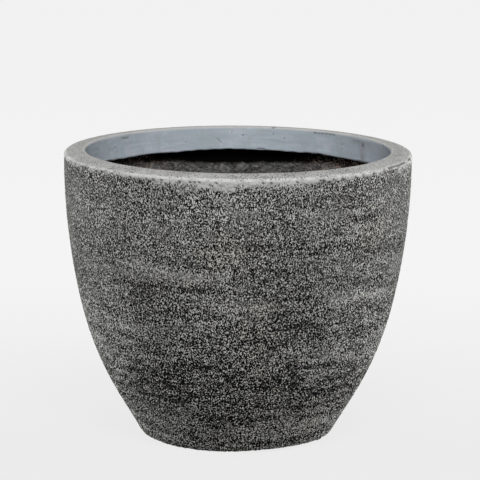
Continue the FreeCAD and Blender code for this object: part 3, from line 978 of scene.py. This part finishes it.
def liningFibre(tree, place):
    first = noise(tree, place, 75.0, 4.0, 0.68, 1.4, (1, 1, 2.6))
    second = noise(tree, place, 260.0, 2.0, 0.6, 0.6, (1, 1, 1.3))
    return total(tree, (first, 0.6), (second, 0.4))


def liningMaterial():
    material, tree, shader = newMaterial("fibreCement", 0.03)
    place = attribute(tree, "restPlace", "Vector")
    fibre = liningFibre(tree, place)
    across, _, height = axes(tree, place)
    colour = tint(tree, fade(tree, fibre, 0.38, 0.5), liningFinish["hollow"], liningFinish["base"])
    colour = tint(tree, fade(tree, fibre, 0.5, 0.62), colour, liningFinish["fibre"])
    side = product(tree, across, across)
    # a painted shadow under the band's overhang, from just below it down to about 0.33 m at the back,
    # ending higher toward the sides
    ragged = total(tree, (noise(tree, place, 48.0, 4.0, 0.65), 0.009), (height, 1.0), (side, -0.47))
    colour = tint(tree, fade(tree, ragged, 0.3248, 0.3304), colour, liningFinish["paintedShadow"])
    # brown crumbs at the sides under the band: real crumbs, their colour painted paler to stand in for
    # light that the band's shade keeps off, and paler still to the right
    clusters = noise(tree, place, 85.0, 3.0, 0.6, 0.5, (1, 1, 1.6), (2.0, 4.0, 1.0))
    crumbs = product(tree, fade(tree, noise(tree, place, 400.0, 2.0, 0.6), 0.44, 0.60),
                     fade(tree, side, 0.004, 0.02), fade(tree, height, 0.30, 0.325),
                     fade(tree, clusters, 0.40, 0.60, 0.1, 1.0))
    paintedLightCrumb = tint(tree, fade(tree, across, 0.04, 0.12), liningFinish["paintedLightCrumb"], liningFinish["paintedLightCrumbRight"])
    colour = tint(tree, crumbs, colour, paintedLightCrumb)
    tree.links.new(colour, shader.inputs["Base Color"])
    shader.inputs["Roughness"].default_value = 0.95
    bump(tree, shader, fibre, 0.6, 0.002)
    return material


def buildLining():
    outerDepth = planterShape["wall"] + planterShape["bedding"]
    outer = wallFace(outerDepth, floorTop, bandBottom, 0.04)
    inner = wallFace(outerDepth + planterShape["lining"], floorTop, bandBottom, 0.003)
    loop = outer + inner[::-1]

    def roughDepth(radius, height):
        return liningFinish["depth"] if (radius, height) in inner[1:-1] else 0.0

    piece = turnedPiece("fibreLining", loop, liningFinish["columns"], 2, roughDepth)
    settle(piece, liningFibre)
    dress(piece, liningMaterial(), "pot", "fibre_lining")
    print("lining", len(piece.data.polygons))


buildLining()


# floor slab: cast cement with a floated top
slabFinish = {
    "base": grey(0.27, 0.05),
    "stone": grey(0.40, 0.04),
    "hollow": grey(0.15, 0.07),
    "depth": 0.0012,
    "columns": 300,
}


def slabHeight(tree, place):
    rough = noise(tree, place, 60.0, 5.0, 0.68, 0.5)
    return total(tree, (rough, 0.7), (noise(tree, place, 18.0, 2.0), 0.3))


def slabMaterial():
    material, tree, shader = newMaterial("castCement", 0.2)
    place = attribute(tree, "restPlace", "Vector")
    height = slabHeight(tree, place)
    grain = noise(tree, place, 420.0, 2.0)
    colour = tint(tree, fade(tree, height, 0.34, 0.58), slabFinish["hollow"], slabFinish["base"])
    colour = tint(tree, fade(tree, grain, 0.48, 0.72), colour, slabFinish["stone"])
    tree.links.new(colour, shader.inputs["Base Color"])
    tree.links.new(fade(tree, grain, 0.2, 0.8, 0.85, 0.97), shader.inputs["Roughness"])
    bump(tree, shader, grain, 0.4, 0.0008)
    return material


def buildSlab():
    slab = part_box("floor_slab")
    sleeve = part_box("drain_sleeve")
    gap = planterShape["bedding"]
    seatRadius = sleeve[1][0] + gap
    tubeRadius = planterShape["sleeveTube"] + gap
    seatHeight = floorTop - planterShape["sleeveFlange"]
    bottomRadius = wallFace(planterShape["wall"] + gap, footTop, bandBottom, 0.01)[0][0]
    loop = run((tubeRadius, footTop), (bottomRadius, footTop), 0.012)
    loop += run((bottomRadius, footTop), (slab[1][0], floorTop), 0.006)
    top = run((slab[1][0], floorTop), (seatRadius, floorTop), 0.0025)
    loop += top + run((seatRadius, floorTop), (seatRadius, seatHeight), 0.002)
    loop += run((seatRadius, seatHeight), (tubeRadius, seatHeight), 0.005)
    loop += run((tubeRadius, seatHeight), (tubeRadius, footTop), 0.008)

    def roughDepth(radius, height):
        return slabFinish["depth"] if (radius, height) in top[2:-2] else 0.0

    piece = turnedPiece("floorSlab", loop, slabFinish["columns"], 3, roughDepth)
    settle(piece, slabHeight)
    dress(piece, slabMaterial(), "pot", "floor_slab")
    print("slab", len(piece.data.polygons))


buildSlab()


# rubber and plastic: the drain sleeve, its plug and the pads
rubberFinish = {            # by slot: name, level of grey, roughness, scale of the grain, bump
    "sleeve_plastic": ("matteSleeve", 0.055, 0.45, 900.0, 0.08),
    "plug_rubber": ("blackRubber", 0.040, 0.62, 700.0, 0.15),
    "pad_rubber": ("footRubber", 0.032, 0.75, 600.0, 0.2),
}
rubberNodes = {
    "sleeve_plastic": ["drain_sleeve"],
    "plug_rubber": ["drain_plug"],
    "pad_rubber": ["foot_pad_1", "foot_pad_2", "foot_pad_3", "foot_pad_4"],
}


def mouldedMaterial(slotName):
    name, level, roughness, scale, strength = rubberFinish[slotName]
    material, tree, shader = newMaterial(name, 0.4)
    place = addNode(tree, "ShaderNodeTexCoord").outputs["Object"]
    grain = noise(tree, place, scale, 2.0)
    dust = noise(tree, place, 60.0, 3.0)
    colour = tint(tree, fade(tree, dust, 0.45, 0.75), grey(level), grey(level * 2.2, 0.06))
    tree.links.new(colour, shader.inputs["Base Color"])
    tree.links.new(fade(tree, dust, 0.3, 0.7, roughness, roughness + 0.15), shader.inputs["Roughness"])
    bump(tree, shader, grain, strength, 0.0004)
    return material


for slotName, nodes in rubberNodes.items():
    material = mouldedMaterial(slotName)
    for node in nodes:
        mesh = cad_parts[node].data
        mesh.materials.clear()
        mesh.materials.append(material)
print("drain and pads dressed")
